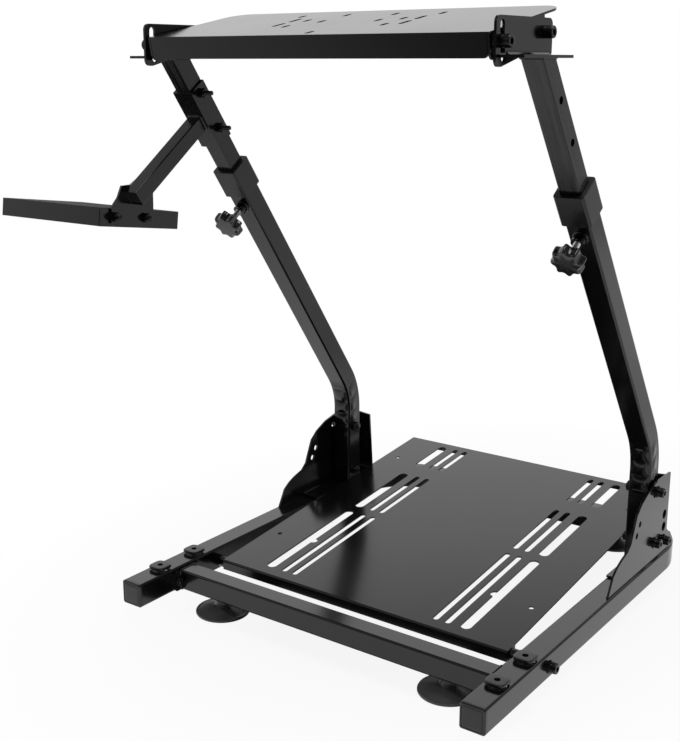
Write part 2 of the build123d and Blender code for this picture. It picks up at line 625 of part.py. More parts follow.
# Shifter arm, square to the upright, with an end plug
arm_plane = front_plane(arm_along, half + plate_steel, -upright_x)
arm_length = arm_end - half - plate_steel
made["shifter_arm"] = extrude(square_section(arm_plane, arm_size, arm_round, tube_wall), arm_length, dir=lean_front)
arm_plug_size = arm_size - 2 * tube_wall
arm_plug_plane = front_plane(arm_along, arm_end - arm_plug_recess - arm_plug_depth, -upright_x)
made["shifter_arm_plug"] = extrude(arm_plug_plane * RectangleRounded(arm_plug_size, arm_plug_size, tube_wall / 4),
                                   arm_plug_depth, dir=lean_front)

# Shifter bracket plate on the outer side of the arm, and the tray bolted to it
arm_side = -upright_x - arm_size / 2
arm_tip = lean_point(arm_along, arm_end)
plate_outline = [(arm_tip[1] + along, arm_tip[2] + rise) for along, rise in shift_plate_points]
shift_plate = side_profile(arm_side - plate_steel, arm_side, plate_outline)
tray_right = arm_side - plate_steel
tray_left = tray_right - tray_width
rim_back = tray_depth - sheet
tray = block(tray_left, tray_right, 0, tray_depth, -sheet, 0)
for rim_y in (0.0, rim_back):
    tray = tray + block(tray_left, tray_right - sheet - tray_corner_gap, rim_y, rim_y + sheet, -tray_rim, -sheet)
tray = tray + block(tray_right - sheet, tray_right, 0, tray_depth, -tray_rim, -sheet)
tray = tray + block(tray_left, tray_left + sheet, sheet + tray_corner_gap, rim_back - tray_corner_gap, -tray_rim, -sheet)
tray = tilted(tray, arm_tip[1] - tray_front_ahead, arm_tip[2] - tray_front_below, -tray_tilt)
shift_bolts = []
for along, rise in shift_bolt_points:
    bolt_y = arm_tip[1] + along
    bolt_z = arm_tip[2] + rise
    hole = drill_x(tray_right - sheet, arm_side, bolt_y, bolt_z, hole_d)
    shift_plate = shift_plate - hole
    tray = tray - hole
    bolt = bolt_x(-tray_right + sheet, bolt_y, bolt_z, -1, plate_steel + sheet, False, shift_bolt_tail)
    shift_bolts.append(bolt.solid())
made["shifter_bracket"] = shift_plate
made["shifter_tray"] = tray
made["shifter_tray_bolts"] = Compound(children=shift_bolts)

# The left side mirrors the right
for name in [key for key in made if "right_" in key]:
    made[name.replace("right_", "left_", 1)] = other_side(made[name])

# Put the origin under the middle of the overall box, on the floor
boxes = [shape.bounding_box() for shape in made.values()]
middle_x = (min(b.min.X for b in boxes) + max(b.max.X for b in boxes)) / 2
middle_y = (min(b.min.Y for b in boxes) + max(b.max.Y for b in boxes)) / 2
shift = Pos(-middle_x, -middle_y, 0)
for name, shape in made.items():
    placed = shift * shape
    solids = placed.solids()
    placed = solids[0] if len(solids) == 1 else Compound(children=list(solids))
    export_step(placed, os.path.join("parts", name + ".step"))
print(len(made), "pieces", "origin shift", round(-middle_x, 3), round(-middle_y, 3))
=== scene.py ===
# %% [markdown]
# # A racing wheel stand, dressed in Blender
# The steel frame comes in as finished solids. This lesson gives every solid a
# believable surface, adds the small things a maker would look for (weld beads,
# socket heads, threads, the folds of a bent tube) and sets the stand in a plain
# white studio, seen from the driver's right.

# %% Load the frame
import json
import math

import bmesh
import bpy
from mathutils import Matrix, Vector


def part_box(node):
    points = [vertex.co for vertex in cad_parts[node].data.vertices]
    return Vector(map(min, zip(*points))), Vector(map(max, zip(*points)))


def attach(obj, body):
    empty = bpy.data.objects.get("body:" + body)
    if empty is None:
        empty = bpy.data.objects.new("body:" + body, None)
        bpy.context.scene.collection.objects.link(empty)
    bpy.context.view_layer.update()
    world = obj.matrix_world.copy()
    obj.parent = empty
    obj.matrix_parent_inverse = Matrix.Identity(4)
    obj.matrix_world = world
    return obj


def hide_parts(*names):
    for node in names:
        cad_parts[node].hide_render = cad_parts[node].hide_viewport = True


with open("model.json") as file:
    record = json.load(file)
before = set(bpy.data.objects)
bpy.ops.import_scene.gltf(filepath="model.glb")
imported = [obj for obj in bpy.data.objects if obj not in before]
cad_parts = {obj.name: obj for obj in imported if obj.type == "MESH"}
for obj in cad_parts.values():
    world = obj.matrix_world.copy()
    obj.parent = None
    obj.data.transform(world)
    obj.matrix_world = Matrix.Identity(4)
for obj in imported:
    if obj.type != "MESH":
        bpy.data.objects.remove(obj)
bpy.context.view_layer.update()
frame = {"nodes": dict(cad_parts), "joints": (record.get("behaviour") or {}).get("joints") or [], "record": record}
scene = bpy.context.scene

# %% [markdown]
# ## Measuring the frame
# Added pieces take their places from the solids themselves, so most of them stay
# right when a dimension of the stand changes. The few helpers here read a solid's
# reach along any axis, the middle of a round solid, and the two boxes of a pair of
# bolts. The leaning tubes give the one slanted direction that the stand has.

# %% Measuring the frame
MM = 0.001
X_AXIS, Y_AXIS, Z_AXIS = Vector((1, 0, 0)), Vector((0, 1, 0)), Vector((0, 0, 1))
Y, Z = 1, 2  # places of these axes in a point
SIDES = (("left", -1), ("right", 1))
rear_low, rear_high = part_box("rear_cross_tube")
CENTRE_X, FRONT_Y = (rear_low.x + rear_high.x) / 2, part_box("right_rail_plug")[0].y
slide = next(joint for joint in frame["joints"] if joint["name"] == "height_slide")
LEAN_UP = Vector(slide["axis"])
LEAN_FRONT = Vector((0, -LEAN_UP.z, LEAN_UP.y))


def stand(x, y, z):
    """A point in millimetres from the middle of the stand's front end, on the floor."""
    return Vector((CENTRE_X + x * MM, FRONT_Y + y * MM, z * MM))


def corners(node):
    return [vertex.co for vertex in frame["nodes"][node].data.vertices]


def middle(node):
    low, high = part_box(node)
    return (low + high) / 2


def foot_of(node, axis):
    """The point where a round solid's own axis starts, and its length in millimetres."""
    reach = [co.dot(axis) for co in corners(node)]
    centre = middle(node)
    return centre + axis * (min(reach) - centre.dot(axis)), (max(reach) - min(reach)) / MM


def halves(node, axis):
    """The boxes of two bolts that share a node, parted at the middle of one axis."""
    cut = middle(node)[axis]
    boxes = []
    for side in (-1, 1):
        group = [co for co in corners(node) if (co[axis] - cut) * side > 0]
        ends = [[pick(co[i] for co in group) for i in range(3)] for pick in (min, max)]
        boxes.append(tuple(Vector(end) for end in ends))
    return boxes


lean = math.atan2(LEAN_UP.y, LEAN_UP.z)
print("lean:", round(math.degrees(-lean), 1), "degrees toward the driver")

# %% [markdown]
# ## Camera
# The picture was matched: the verticals, the two rails and the four corners of
# the pedal plate fix where the lens stood. A long lens from chest height gives
# the slight convergence of a product photograph. A camera could be aimed with a
# constraint, but a position, a heading and a tilt say the same with three plain
# values.

# %% Camera
EYE = stand(788.5, -970.2, 709.2)
HEADING, TILT = math.radians(36.05), math.radians(14.85)
LENS_MM, SENSOR_MM = 56.64, 36.0


def aim(heading, tilt):
    """Rotation of a camera that looks along its heading and down by its tilt."""
    return Matrix.Rotation(heading, 3, "Z") @ Matrix.Rotation(math.pi / 2 - tilt, 3, "X")


camera = bpy.data.objects.new("camera", bpy.data.cameras.new("camera"))
camera.data.sensor_width = SENSOR_MM
camera.data.lens = LENS_MM
camera.location = EYE
camera.rotation_euler = aim(HEADING, TILT).to_euler()
scene.collection.objects.link(camera)
scene.camera = camera
print("camera at", tuple(round(v, 3) for v in EYE), "lens", LENS_MM)

# %% [markdown]
# ## Shader arithmetic
# A finish is a sum of small effects: a grain, a haze, a ripple. Written as nodes
# that sum is a wall of boxes; written as Python it is one line. The class below
# wraps a socket, so that `1 - mask` or `grain * 0.2 + haze` adds the Math nodes by
# itself, and `node` makes any other node.

# %% The socket class


class Value:
    """One output socket of a node tree, used like a number."""

    def __init__(self, tree, socket=None):
        self.tree, self.socket = tree, socket

    def node(self, kind, settings=None, inputs=None, out=0):
        """Adds a node: settings first, then values or links for its input sockets."""
        made = self.tree.nodes.new(kind)
        for key, setting in (settings or {}).items():
            if key == "stops":
                fill_ramp(made.color_ramp, setting)
            else:
                setattr(made, key, setting)
        for key, value in (inputs or {}).items():
            if isinstance(value, Value):
                self.tree.links.new(value.socket, made.inputs[key])
            else:
                made.inputs[key].default_value = value
        return Value(self.tree, made.outputs[out])

    def math(self, operation, *values):
        return self.node("ShaderNodeMath", {"operation": operation}, dict(enumerate(values)))

    def ramp(self, *stops):
        """Greys read off along a curve of (position, grey) stops."""
        return self.node("ShaderNodeValToRGB", {"stops": stops}, {"Fac": self})

    def __add__(self, other):
        return self.math("ADD", self, other)

    def __radd__(self, other):
        return self.math("ADD", other, self)

    def __sub__(self, other):
        return self.math("SUBTRACT", self, other)

    def __rsub__(self, other):
        return self.math("SUBTRACT", other, self)

    def __mul__(self, other):
        return self.math("MULTIPLY", self, other)

    def __rmul__(self, other):
        return self.math("MULTIPLY", other, self)

    def __truediv__(self, other):
        return self.math("DIVIDE", self, other)

    def __rtruediv__(self, other):
        return self.math("DIVIDE", other, self)


def fill_ramp(ramp, stops):
    """Sets a colour ramp's stops from (position, grey) pairs."""
    while len(ramp.elements) < len(stops):
        ramp.elements.new(0.5)
    for element, (position, tone) in zip(ramp.elements, stops):
        element.position = position
        element.color = (tone, tone, tone, 1.0)


print("operators:", [name for name in vars(Value) if name.startswith("__r")])

# %% [markdown]
# ## Starting a finish
# Every finish here starts the same way: a Principled surface whose constants are
# set on its own sockets, and the object's coordinates. The solids keep their place
# in their vertices, so object coordinates are metres in the stand's own frame, and
# they travel with a piece when a joint moves it. Bump heights are metres too.

# %% Starting a finish


def start_finish(name, **constants):
    """A new material: returns it, its surface node and its coordinates in metres."""
    material = bpy.data.materials.new(name)
    material.use_nodes = True
    tree = material.node_tree
    surface = tree.nodes["Principled BSDF"]
    for key, constant in constants.items():
        surface.inputs[key.replace("_", " ")].default_value = constant
    return material, surface, Value(tree).node("ShaderNodeTexCoord", out="Object")


def feed(surface, socket, value):
    value.tree.links.new(value.socket, surface.inputs[socket])


def noise(place, size, detail=2.0):
    """Noise whose features are about `size` metres wide."""
    inputs = {"Vector": place, "Scale": 1.0 / size, "Detail": detail}
    return place.node("ShaderNodeTexNoise", {}, inputs)


def bump(height, strength):
    inputs = {"Height": height, "Distance": 1.0, "Strength": strength}
    return height.node("ShaderNodeBump", {}, inputs)


def parts(vector, count):
    """The first coordinates of a vector, each as a Value."""
    return [vector.node("ShaderNodeSeparateXYZ", {}, {0: vector}, out=i) for i in range(count)]


print("finishes start from Principled BSDF with object coordinates")

# %% [markdown]
# ## Powder coat
# The frame is sprayed with black powder and baked. The film levels out to a
# semi-gloss skin with a faint orange peel about two millimetres across, and the
# gloss wanders a little where the film is thicker. The black itself is nearly
# constant, so the look comes from the sharpness of the reflections: roughness
# carries a slow haze, and a shallow bump carries the peel. A second, slightly
# duller coat is for the folds of the bent tubes, where the film is stretched.

# %% Powder coat
COAT_SHINE, COAT_BUMP = 0.5, 0.9
HAZE, PEEL, GRIT = 0.11, 0.0026, 0.0007  # sizes in metres
PEEL_DEPTH, GRIT_DEPTH = 12e-6, 2e-6


def powder_coat(name, rough):
    material, surface, place = start_finish(name, Specular_IOR_Level=COAT_SHINE)
    haze, peel, grit = noise(place, HAZE, 3.0), noise(place, PEEL, 1.0), noise(place, GRIT, 0.0)
    feed(surface, "Base Color", haze.ramp((0.3, 0.004), (0.7, 0.007)))
    feed(surface, "Roughness", rough + haze * 0.08 + grit * 0.03)
    feed(surface, "Normal", bump(peel * PEEL_DEPTH + grit * GRIT_DEPTH, COAT_BUMP))
    return material


coat, creased = powder_coat("black_powder_coat", 0.11), powder_coat("creased_powder_coat", 0.13)
print("made", coat.name, creased.name)

# %% [markdown]
# ## Rubbed coat
# The inner tubes slide in the collars, which dulls their coat in streaks along the
# tube. Streaks could be drawn by hand on an unwrapped tube; here a noise is turned
# to the tube's lean and drawn out lengthwise, and a second, broad noise says where
# the rubbing was strong.

# %% Rubbed coat
STREAK, STRETCH, PATCH = 0.0024, 0.012, 0.05


def rubbed_coat(name):
    material, surface, place = start_finish(name, Specular_IOR_Level=COAT_SHINE)
    turned = place.node("ShaderNodeMapping", {}, {"Vector": place, "Rotation": (lean, 0, 0)})
    multiply = {"operation": "MULTIPLY"}
    drawn = place.node("ShaderNodeVectorMath", multiply, {0: turned, 1: (1.0, 1.0, STRETCH)})
    streak = noise(drawn, STREAK, 3.0).ramp((0.42, 0.0), (0.62, 1.0))
    worn = streak * noise(place, PATCH).ramp((0.4, 0.2), (0.65, 1.0))
    peel = noise(place, PEEL, 1.0)
    feed(surface, "Base Color", worn.ramp((0.0, 0.005), (1.0, 0.011)))
    feed(surface, "Roughness", 0.14 + worn * 0.3)
    feed(surface, "Normal", bump(peel * PEEL_DEPTH + worn * PEEL_DEPTH, COAT_BUMP))
    return material


rubbed = rubbed_coat("rubbed_powder_coat")
print("made", rubbed.name)

# %% [markdown]
# ## Plastic, rubber, oxide and zinc
# The collars, plugs and knobs are moulded with a fine spark-eroded grain, so they
# scatter more than the coat. The feet are duller still. The screws are steel with
# a black oxide skin, thin enough to keep some sheen, and the studs behind the knobs
# are bright zinc. They differ only in a few values, so one function makes them all.

# %% Small finishes
CLOUD = 0.03


def grained(name, tone, rough, grain, depth, metallic=0.0, shine=0.5):
    """A finish with a fine grain; grain size and depth are in metres."""
    material, surface, place = start_finish(name, Metallic=metallic, Specular_IOR_Level=shine)
    fine, cloud = noise(place, grain), noise(place, CLOUD)
    feed(surface, "Base Color", cloud.ramp((0.3, tone * 0.8), (0.7, tone * 1.2)))
    feed(surface, "Roughness", rough - 0.06 + cloud * 0.12)
    feed(surface, "Normal", bump(fine * depth, 0.8))
    return material


moulding = grained("black_moulding", tone=0.01, rough=0.3, grain=0.0009, depth=20e-6)
knob_moulding = grained("polished_moulding", tone=0.018, rough=0.17, grain=0.0012, depth=6e-6, shine=0.8)
rubber = grained("black_rubber", tone=0.075, rough=0.34, grain=0.0016, depth=30e-6)
oxide = grained("black_oxide", tone=0.007, rough=0.28, grain=0.0007, depth=10e-6, shine=0.42)
zinc = grained("bright_zinc", tone=0.62, rough=0.24, grain=0.0011, depth=20e-6, metallic=1.0)
print("made", moulding.name, knob_moulding.name, rubber.name, oxide.name, zinc.name)

# %% [markdown]
# ## Dressing the solids
# The frame's record says which kind of material each solid is made of. One table
# from that word to a finish dresses all of them, so no solid is forgotten. Only the
# inner tubes get a finish of their own.

# %% Dress the solids
FINISH = {"powder_coat": coat, "black_bolts": oxide, "black_plastic": moulding,
          "foot_rubber": rubber, "zinc": zinc}
for row in frame["record"]["subparts"]:
    solid = frame["nodes"][row["node"]]
    finish = rubbed if row["node"].endswith("inner_tube") else FINISH[row["material_slot"]]
    solid.data.materials.clear()
    solid.data.materials.append(finish)

# %% [markdown]
# ## Soft edges
# Cut sheet and drawn tube never end in a perfect edge: the coat pulls back and
# rounds it by a few tenths of a millimetre, and that round is what catches a thin
# light line. A bevel cut into the solids would make the frame heavier for every
# other use, so a modifier does it here: coincident points are joined, flat faces
# are merged, and only the sharp edges are rounded.

# %% Soft edges
STEEL_EDGE, DECK_EDGE, COLLAR_EDGE = 0.4, 0.8, 0.6
SOFT = dict.fromkeys(("rail", "cross_tube", "pedal_plate", "side_bracket", "deck_bracket",
                      "shifter_tray", "shifter_bracket", "shifter_arm", "shifter_clamp"), STEEL_EDGE)
SOFT.update(wheel_deck=DECK_EDGE, collar=COLLAR_EDGE)


def soften(solid, width):
    weld = solid.modifiers.new("join", "WELD")
    weld.merge_threshold = 0.01 * MM
    flat = solid.modifiers.new("flat", "DECIMATE")
    flat.decimate_type = "DISSOLVE"
    flat.angle_limit = math.radians(0.5)
    edge = solid.modifiers.new("edge", "BEVEL")
    edge.width = width
    edge.segments = 2
    edge.limit_method = "ANGLE"
    edge.angle_limit = math.radians(40)
    edge.use_clamp_overlap = True
    shade = solid.modifiers.new("shade", "WEIGHTED_NORMAL")
    shade.keep_sharp = False


for node, solid in frame["nodes"].items():
    for ending, width in SOFT.items():
        if node.endswith(ending):
            soften(solid, width * MM)
print("softened", sum(1 for solid in frame["nodes"].values() if solid.modifiers), "solids")

# %% [markdown]
# ## Lofted shapes
# Screw heads, nuts, knobs and feet are all stacks of outlines. One helper draws an
# outline whose radius may change with the angle, one skins a stack of them, and one
# stands the result on a point of the frame along an axis. The alternative, boolean
# cuts on ready-made solids, leaves ragged faces that catch the light badly.

# %% Lofted shapes


def ring(radius, height, count):
    """An outline in millimetres; radius is a number or a function of the angle."""
    angles = [2 * math.pi * step / count for step in range(count)]
    reach = [radius(angle) if callable(radius) else radius for angle in angles]
    return [Vector((r * math.cos(a), r * math.sin(a), height)) for r, a in zip(reach, angles)]


def loft(bm, at, stack, count=48):
    """Skins a stack of (radius, height) outlines and closes both ends."""
    rings = []
    for radius, height in stack:
        rings.append([bm.verts.new(at @ point) for point in ring(radius, height, count)])
    for low, high in zip(rings, rings[1:]):
        for i in range(count):
            j = (i + 1) % count
            bm.faces.new((low[i], low[j], high[j], high[i]))
    bm.faces.new(rings[0][::-1])
    bm.faces.new(rings[-1])


def seat(point, axis, across=Z_AXIS):
    """Stands a shape drawn in millimetres about Z on a point, along an axis."""
    side = across.cross(axis).normalized()
    turn = Matrix((side, axis.cross(side), axis)).transposed().to_4x4()
    return Matrix.Translation(point) @ turn @ Matrix.Scale(MM, 4)


def lifted(at, height):
    return at @ Matrix.Translation((0, 0, height))


first, second = ring(10.0, 0.0, 48)[:2]
print("points on a ring 20 mm across:", round((first - second).length, 2), "mm apart")

# %% [markdown]
# ## From mesh to piece
# A built mesh becomes part of the stand in one function: it rides on the body it
# moves with, takes the finish of its kind of material unless it is given one of
# its own, and hides the plain solid that it stands for, if there is one. Every
# piece below ends in this one function.

# %% From mesh to piece
CREASE = math.radians(34)


def finish_piece(name, bm, body, slot, stands_for=None, finish=None):
    """Turns a built mesh into a piece that rides on a body and takes a slot's finish."""
    bmesh.ops.recalc_face_normals(bm, faces=bm.faces)
    mesh = bpy.data.meshes.new(name)
    bm.to_mesh(mesh)
    bm.free()
    mesh.polygons.foreach_set("use_smooth", [True] * len(mesh.polygons))
    mesh.set_sharp_from_angle(angle=CREASE)
    mesh.materials.append(finish or FINISH[slot])
    made = bpy.data.objects.new(name, mesh)
    scene.collection.objects.link(made)
    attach(made, body)
    if stands_for:
        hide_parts(stands_for)
    print(name, len(mesh.polygons), "faces")


print("edges over", round(math.degrees(CREASE)), "degrees stay sharp")

# %% [markdown]
# ## Screw parts
# The stand is held by M8 socket screws in black oxide: a knurled round head with a
# six-sided socket, a flat washer, and a plain nut, or a lock nut with a raised
# collar where a joint has to turn. Threads are true helices, since a tip two
# millimetres long still shows its turns. All lengths here are in millimetres.

# %% Screw parts
M8, WASHER = 4.0, 1.6


def hexagon(across):
    def reach(angle):
        turn = (angle + math.pi / 6) % (math.pi / 3) - math.pi / 6
        return across / 2 / math.cos(turn)
    return reach


def within(limit, shape):
    return lambda angle: min(limit, shape(angle))


def knurled(radius, teeth, depth):
    return lambda angle: radius - depth * (0.5 - 0.5 * math.cos(angle * teeth))


def cap_head(bm, at, height):
    grip, socket = knurled(6.5, 36, 0.25), hexagon(6.0)
    side = [(6.2, 0), (6.45, 0.4), (grip, 0.8), (grip, height - 2.1), (6.4, height - 1.8)]
    crown = [(6.3, height - 0.8), (5.9, height - 0.2), (5.4, height), (3.7, height)]
    pit = [(socket, height - 0.4), (socket, height - 4.2), (0.4, height - 5)]
    loft(bm, at, side + crown + pit, 72)


def washer(bm, at, radius=8.0):
    rim = [(radius - 0.2, 0), (radius, 0.25), (radius, 1.35), (radius - 0.2, WASHER)]
    loft(bm, at, rim + [(4.3, WASHER)])


def nut(bm, at, height, across=13.0):
    six = hexagon(across)
    near, far = within(across / 2 - 0.2, six), within(across / 2 + 0.45, six)
    low = [(near, 0), (far, 0.35), (six, 0.8)]
    high = [(six, height - 0.8), (far, height - 0.35), (near, height)]
    loft(bm, at, low + high + [(4.6, height), (4.1, height - 0.5)])


def lock_nut(bm, at):
    six = hexagon(13.0)
    near, far = within(6.3, six), within(6.95, six)
    flats = [(near, 0), (far, 0.35), (six, 0.8), (six, 4.8), (far, 5.3)]
    loft(bm, at, flats + [(6.0, 5.7), (5.9, 7.0), (5.5, 7.7), (4.8, 8.0), (4.1, 7.3)])


def spacer(bm, at, start, end):
    loft(bm, at, [(7.8, start), (8.0, start + 0.2), (8.0, end - 0.2), (7.8, end)])


def thread(bm, at, start, end, radius=M8, pitch=1.25):
    def crest(height):
        def reach(angle):
            turn = (height / pitch - angle / (2 * math.pi)) % 1.0
            return radius - 0.6 * pitch * abs(2 * turn - 1)
        return reach
    steps = max(2, round((end - start) / pitch * 6))
    heights = [start + (end - start) * step / steps for step in range(steps + 1)]
    turns = [(crest(height), height) for height in heights]
    loft(bm, at, [(radius - 1.0, start - 0.3)] + turns + [(radius - 1.0, end + 0.3)], 24)


print("an M8 nut is", round(2 * hexagon(13.0)(math.pi / 6), 1), "mm over its corners")

# %% [markdown]
# ## Screws in place
# Each pair of bolts takes the place of the plain pair in the frame, and is built
# inside the box of the plain one, so it keeps its length. The deck's bolts end in
# lock nuts, because the deck turns on them. The shifter's bolts are thinner and
# stand out of their nuts, and the uprights' bolts carry packing washers.

# %% Screws in place
SHANK, THIN_SHANK, LOCK_NUT, LONG_TAIL = 3.95, 2.9, 8.0, 2.0


def screw(bm, box, side, head, tail=0.0, flat_washer=False, pivot=False, packing=0.0):
    """One bolt in the box of the plain one: local height runs from the tip to the head."""
    low, high = box
    tip, length = (low.x if side > 0 else high.x), (high.x - low.x) / MM
    at = seat(Vector((tip, (low.y + high.y) / 2, (low.z + high.z) / 2)), X_AXIS * side)
    under = length - head
    cap_head(bm, lifted(at, under), head)
    if flat_washer:
        washer(bm, lifted(at, under - WASHER))
    loft(bm, at, [(SHANK, tail + 1.0), (SHANK, under)], 24)
    if pivot:
        lock_nut(bm, lifted(at, LOCK_NUT) @ Matrix.Rotation(math.pi, 4, "X"))
        washer(bm, lifted(at, LOCK_NUT), 6.5)
        spacer(bm, at, 12.1, 16.8)
        thread(bm, at, -1.0, 2.0)
    elif tail > LONG_TAIL:
        nut(bm, lifted(at, tail), 5.5, 10.5)
        thread(bm, at, 0.3, tail + 1.0, THIN_SHANK, 1.0)
    else:
        nut(bm, lifted(at, tail), 6.5)
        thread(bm, at, -1.7, 1.0)
    if packing:
        spacer(bm, at, under - 4.6 - packing, under - 4.6)


def screw_pair(node, body, axis, side, **build):
    bm = bmesh.new()
    for box in halves(node, axis):
        screw(bm, box, side, **build)
    finish_piece(node.replace("bolts", "screws"), bm, body, "black_bolts", node)


for name, side in SIDES:
    screw_pair(name + "_plate_bolts", "base", Y, side, head=8.0, flat_washer=True)
    screw_pair(name + "_upright_bolts", "base", Z, side, head=8.0, flat_washer=True, packing=3.6)
    screw_pair(name + "_deck_bolts", "deck", Y, side, head=10.0, tail=1.0, pivot=True)
screw_pair("shifter_clamp_bolts", "upper", Z, -1, head=8.0, tail=11.5)
screw_pair("shifter_tray_bolts", "upper", Y, -1, head=8.0, tail=5.0)

# %% [markdown]
# ## Star knobs and their studs
# A clamp knob is moulded with eight soft lobes, a flat face with a rounded edge and
# a hub toward the tube. Lobes come from one cosine in the outline's radius, which
# keeps them smooth where a cut scallop would leave a crease. Behind each knob shows
# the zinc-plated stud that presses on the inner tube.

# %% Knobs and studs
VALLEY, LOBE, LOBE_COUNT = 16.4, 3.6, 8
KNOB_RIM = [(0.985, 4.2), (0.96, 2.8), (0.92, 1.6), (0.88, 0.9), (0.84, 0.55), (0.8, 0.45), (0.5, 0.2)]


def lobes(scale):
    def reach(angle):
        return scale * (VALLEY + LOBE * (0.5 + 0.5 * math.cos(LOBE_COUNT * angle)) ** 1.6)
    return reach


def knob_stack(height):
    """Hub, back and grip, then the rim, given as (scale, depth under the face)."""
    hub = [(8.4, 0), (9.0, 0.6), (9.2, 3.2), (lobes(0.8), 3.8), (lobes(0.95), 4.0)]
    grip = [(lobes(0.985), 4.5), (lobes(1), 5.4), (lobes(1), 9.0)]
    rim = [(lobes(scale), height - drop) for scale, drop in KNOB_RIM]
    return hub + grip + rim + [(4.0, height), (0.6, height)]


for name, _ in SIDES:
    base, height = foot_of(name + "_knob", LEAN_FRONT)
    bm = bmesh.new()
    loft(bm, seat(base, LEAN_FRONT, X_AXIS), knob_stack(height), 160)
    finish_piece(name + "_star_knob", bm, name + "_knob", "black_plastic", name + "_knob", knob_moulding)
    start, length = foot_of(name + "_knob_stud", LEAN_FRONT)
    bm = bmesh.new()
    thread(bm, seat(start, LEAN_FRONT, X_AXIS), 0.3, length - 0.3)
    finish_piece(name + "_threaded_stud", bm, name + "_knob", "zinc", name + "_knob_stud")

# %% [markdown]
# ## Feet
# The feet are soft discs with a thin rim and a cone that rises to a neck under the
# tube. They are turned shapes, so one profile of (radius, height) pairs says all,
# and a loft follows its soft rims better than the frame's plain chamfers.

# %% Feet
FOOT_RIM = [(30, 0), (34, 0), (35.4, 0.7), (36, 1.8), (36, 3.1), (35.6, 4.0), (34.8, 4.4), (33.6, 4.5)]
FOOT_CONE = [(32.8, 4.3), (32.0, 4.55), (28, 5.7), (23, 7.0), (18, 8.2), (14.0, 9.2)]
FOOT_NECK = [(11.0, 10.2), (9.2, 11.6), (8.4, 13.6), (8.0, 16.5), (8.0, 20.0)]
for name, _ in SIDES:
    for end in ("front", "rear"):
        node = end + "_" + name + "_foot"
        at = seat(foot_of(node, Z_AXIS)[0], Z_AXIS, X_AXIS)
        bm = bmesh.new()
        loft(bm, at, FOOT_RIM + FOOT_CONE + FOOT_NECK, 96)
        finish_piece(node + "_disc", bm, "base", "foot_rubber", node)

# %% [markdown]
# ## Rail pads
# On the front of each rail sit two low pads, square with well rounded corners, each
# over a flat nut. A superellipse gives that outline in one formula, where a square
# with arcs would need eight parts.

# %% Rail pads
PAD_HALF, PAD_POWER = 12.5, 3.6
PAD = [(1.2, 2.0), (0.3, 2.4), (0.0, 3.0), (0.0, 4.8), (0.3, 5.5), (1.0, 5.9), (2.0, 6.0)]
PAD_HOLE = [(4.0, 6.0), (3.5, 5.6), (3.5, 2.6)]


def cushion(inset):
    """A square with well rounded corners."""
    def reach(angle):
        both = abs(math.cos(angle)) ** PAD_POWER + abs(math.sin(angle)) ** PAD_POWER
        return PAD_HALF / both ** (1 / PAD_POWER) - inset
    return reach


for name, _ in SIDES:
    bm, nuts = bmesh.new(), bmesh.new()
    for low, high in halves(name + "_rail_pads", Y):
        at = seat(Vector(((low.x + high.x) / 2, (low.y + high.y) / 2, low.z)), Z_AXIS, X_AXIS)
        nut(nuts, at, 2.4, 21.0)
        loft(bm, at, [(cushion(inset), height) for inset, height in PAD] + PAD_HOLE, 96)
    finish_piece(name + "_pads", bm, "base", "black_bolts", name + "_rail_pads")
    finish_piece(name + "_pad_nuts", nuts, "base", "zinc")

# %% [markdown]
# ## Rail plugs
# The open ends of the rails are closed by pressed-in plastic plugs. A plug has a
# soft outer rim and a shallow groove around its face, left by the mould, which
# draws a thin square inside the square end of the tube.

# %% Rail plugs
PLUG_FACE, PLUG_CORNER = 4.0, 2.8
PLUG = [(14.4, -8.0), (14.4, 0.0), (15.9, 0.0), (15.95, 0.4), (15.95, 2.6), (15.7, 3.2), (15.2, 3.7),
        (14.5, 3.95), (13.6, 4.0), (13.3, 3.9), (13.1, 3.5), (12.7, 3.5), (12.5, 3.85), (12.2, 3.95),
        (9.0, 4.0), (4.0, 4.0)]


def rounded_square(half, corner):
    """Reach of a square with circular corners."""
    def reach(angle):
        small, large = sorted((abs(math.cos(angle)), abs(math.sin(angle))))
        if half / large * small <= half - corner:
            return half / large
        inset, both = half - corner, small + large
        return inset * both + math.sqrt((inset * both) ** 2 - 2 * inset ** 2 + corner ** 2)
    return reach


for name, _ in SIDES:
    low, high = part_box(name + "_rail_plug")
    foot = Vector(((low.x + high.x) / 2, low.y + PLUG_FACE * MM, (low.z + high.z) / 2))
    stack = [(rounded_square(half, PLUG_CORNER), height) for half, height in PLUG]
    bm = bmesh.new()
    loft(bm, seat(foot, -Y_AXIS), stack, 192)
    finish_piece(name + "_end_plug", bm, "base", "black_plastic", name + "_rail_plug")

# %% [markdown]
# ## Flange bolts
# The front cross tube ends in a small flange against each rail, held by two bolts
# whose nuts show on the inner side. They are too small to matter to the frame, so
# they are only drawn here.

# %% Flange bolts
FLANGE, FLANGE_EDGE = 3.0, 5.6
front_low, front_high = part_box("front_cross_tube")


def end_of(low, high, side, inset=0.0):
    """The middle of a cross tube's end, in metres; the inset is in millimetres."""
    end = (high.x if side > 0 else low.x) - side * inset * MM
    return Vector((end, (low.y + high.y) / 2, (low.z + high.z) / 2))


for name, side in SIDES:
    face = end_of(front_low, front_high, side, FLANGE)
    bm = bmesh.new()
    for y in (front_low.y + FLANGE_EDGE * MM, front_high.y - FLANGE_EDGE * MM):
        at = seat(Vector((face.x, y, face.z)), X_AXIS * -side)
        nut(bm, at, 4.0, 10.0)
        thread(bm, at, 3.0, 5.5, 3.0, 1.0)
    finish_piece(name + "_flange_nuts", bm, "base", "black_bolts")

# %% [markdown]
# ## A weld bead
# Where tube meets plate the stand is welded, and the coat goes over the bead. A
# bead is a round string laid in the corner, with the overlapping scales that a
# moving torch leaves. It is swept along its path as rings whose size swells once
# per scale, which reads better at a grazing light than a bump could.

